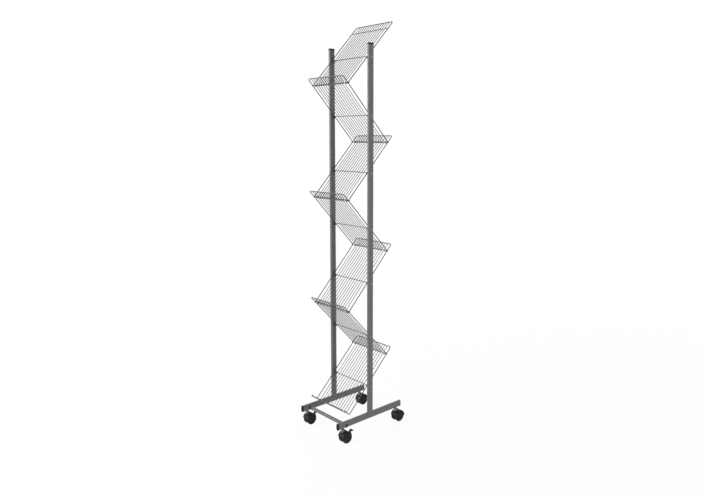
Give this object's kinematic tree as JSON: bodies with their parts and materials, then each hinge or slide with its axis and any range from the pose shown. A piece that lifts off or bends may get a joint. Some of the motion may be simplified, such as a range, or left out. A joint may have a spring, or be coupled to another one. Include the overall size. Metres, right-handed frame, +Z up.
{
  "type": "periodical display rack",
  "caption": "Tall mobile floor rack with sloping welded wire grilles that hold periodicals face out on its front and back, standing on twin-wheel casters.",
  "frame": {"origin": "on the floor, midway between the two uprights and on the plane through the middles of both", "axes": "+X to the right along the crossbar, seen from the front; +Y from the front, where the crossbar is, to the back; +Z up"},
  "size_m": [0.288, 0.398, 1.8084],
  "materials": {
    "tube_paint": "semi-gloss silver-grey",
    "wire_paint": "semi-gloss silver-grey",
    "zinc": "bright zinc",
    "black_steel": "black, satin",
    "dark_plastic": "satin",
    "black_rubber": "matte",
    "caster_plastic": "satin",
    "wheel_plastic": "satin"
  },
  "bodies": {
    "rack": {"caster_stem_front_left": "zinc", "caster_stem_front_right": "zinc", "caster_stem_rear_left": "zinc", "caster_stem_rear_right": "zinc", "crossbar": "tube_paint", "crossbar_bolts": "black_steel", "crossbar_plugs": "zinc", "crossbar_washers": "black_rubber", "foot_cap_front_left": "dark_plastic", "foot_cap_front_right": "dark_plastic", "foot_cap_rear_left": "dark_plastic", "foot_cap_rear_right": "dark_plastic", "foot_left": "tube_paint", "foot_right": "tube_paint", "grille_1": "wire_paint", "grille_2": "wire_paint", "grille_3": "wire_paint", "grille_4": "wire_paint", "grille_5": "wire_paint", "grille_6": "wire_paint", "grille_7": "wire_paint", "grille_saddles": "dark_plastic", "grille_screws": "zinc", "junction_clips": "zinc", "post_cap_left": "dark_plastic", "post_cap_right": "dark_plastic", "post_left": "tube_paint", "post_right": "tube_paint", "stem_bushes": "dark_plastic"},
    "caster_front_left": {"caster_hood_front_left": "caster_plastic", "caster_axle_front_left": "zinc", "brake_pin_front_left": "zinc"},
    "wheel_front_left_left": {"caster_wheel_front_left_left": "wheel_plastic"},
    "wheel_front_left_right": {"caster_wheel_front_left_right": "wheel_plastic"},
    "pedal_front_left": {"brake_pedal_front_left": "caster_plastic"},
    "caster_front_right": {"caster_hood_front_right": "caster_plastic", "caster_axle_front_right": "zinc", "brake_pin_front_right": "zinc"},
    "wheel_front_right_left": {"caster_wheel_front_right_left": "wheel_plastic"},
    "wheel_front_right_right": {"caster_wheel_front_right_right": "wheel_plastic"},
    "pedal_front_right": {"brake_pedal_front_right": "caster_plastic"},
    "caster_rear_left": {"caster_hood_rear_left": "caster_plastic", "caster_axle_rear_left": "zinc"},
    "wheel_rear_left_left": {"caster_wheel_rear_left_left": "wheel_plastic"},
    "wheel_rear_left_right": {"caster_wheel_rear_left_right": "wheel_plastic"},
    "caster_rear_right": {"caster_hood_rear_right": "caster_plastic", "caster_axle_rear_right": "zinc"},
    "wheel_rear_right_left": {"caster_wheel_rear_right_left": "wheel_plastic"},
    "wheel_rear_right_right": {"caster_wheel_rear_right_right": "wheel_plastic"}
  },
  "joints": [
    {"name": "swivel_front_left", "type": "hinge", "parent": "rack", "child": "caster_front_left", "pos_m": [-0.126, -0.1625, 0.068], "axis": [0, 0, 1], "continuous": true},
    {"name": "roll_front_left_left", "type": "hinge", "parent": "caster_front_left", "child": "wheel_front_left_left", "pos_m": [-0.126, -0.1465, 0.025], "axis": [1, 0, 0], "continuous": true},
    {"name": "roll_front_left_right", "type": "hinge", "parent": "caster_front_left", "child": "wheel_front_left_right", "pos_m": [-0.126, -0.1465, 0.025], "axis": [1, 0, 0], "continuous": true},
    {"name": "brake_front_left", "type": "hinge", "parent": "caster_front_left", "child": "pedal_front_left", "pos_m": [-0.126, -0.132, 0.03176], "axis": [-1, 0, 0], "range_deg": [0, 15]},
    {"name": "swivel_front_right", "type": "hinge", "parent": "rack", "child": "caster_front_right", "pos_m": [0.126, -0.1625, 0.068], "axis": [0, 0, 1], "continuous": true},
    {"name": "roll_front_right_left", "type": "hinge", "parent": "caster_front_right", "child": "wheel_front_right_left", "pos_m": [0.126, -0.1465, 0.025], "axis": [1, 0, 0], "continuous": true},
    {"name": "roll_front_right_right", "type": "hinge", "parent": "caster_front_right", "child": "wheel_front_right_right", "pos_m": [0.126, -0.1465, 0.025], "axis": [1, 0, 0], "continuous": true},
    {"name": "brake_front_right", "type": "hinge", "parent": "caster_front_right", "child": "pedal_front_right", "pos_m": [0.126, -0.132, 0.03176], "axis": [-1, 0, 0], "range_deg": [0, 15]},
    {"name": "swivel_rear_left", "type": "hinge", "parent": "rack", "child": "caster_rear_left", "pos_m": [-0.126, 0.1625, 0.068], "axis": [0, 0, 1], "continuous": true},
    {"name": "roll_rear_left_left", "type": "hinge", "parent": "caster_rear_left", "child": "wheel_rear_left_left", "pos_m": [-0.126, 0.1785, 0.025], "axis": [1, 0, 0], "continuous": true},
    {"name": "roll_rear_left_right", "type": "hinge", "parent": "caster_rear_left", "child": "wheel_rear_left_right", "pos_m": [-0.126, 0.1785, 0.025], "axis": [1, 0, 0], "continuous": true},
    {"name": "swivel_rear_right", "type": "hinge", "parent": "rack", "child": "caster_rear_right", "pos_m": [0.126, 0.1625, 0.068], "axis": [0, 0, 1], "continuous": true},
    {"name": "roll_rear_right_left", "type": "hinge", "parent": "caster_rear_right", "child": "wheel_rear_right_left", "pos_m": [0.126, 0.1785, 0.025], "axis": [1, 0, 0], "continuous": true},
    {"name": "roll_rear_right_right", "type": "hinge", "parent": "caster_rear_right", "child": "wheel_rear_right_right", "pos_m": [0.126, 0.1785, 0.025], "axis": [1, 0, 0], "continuous": true}
  ]
}
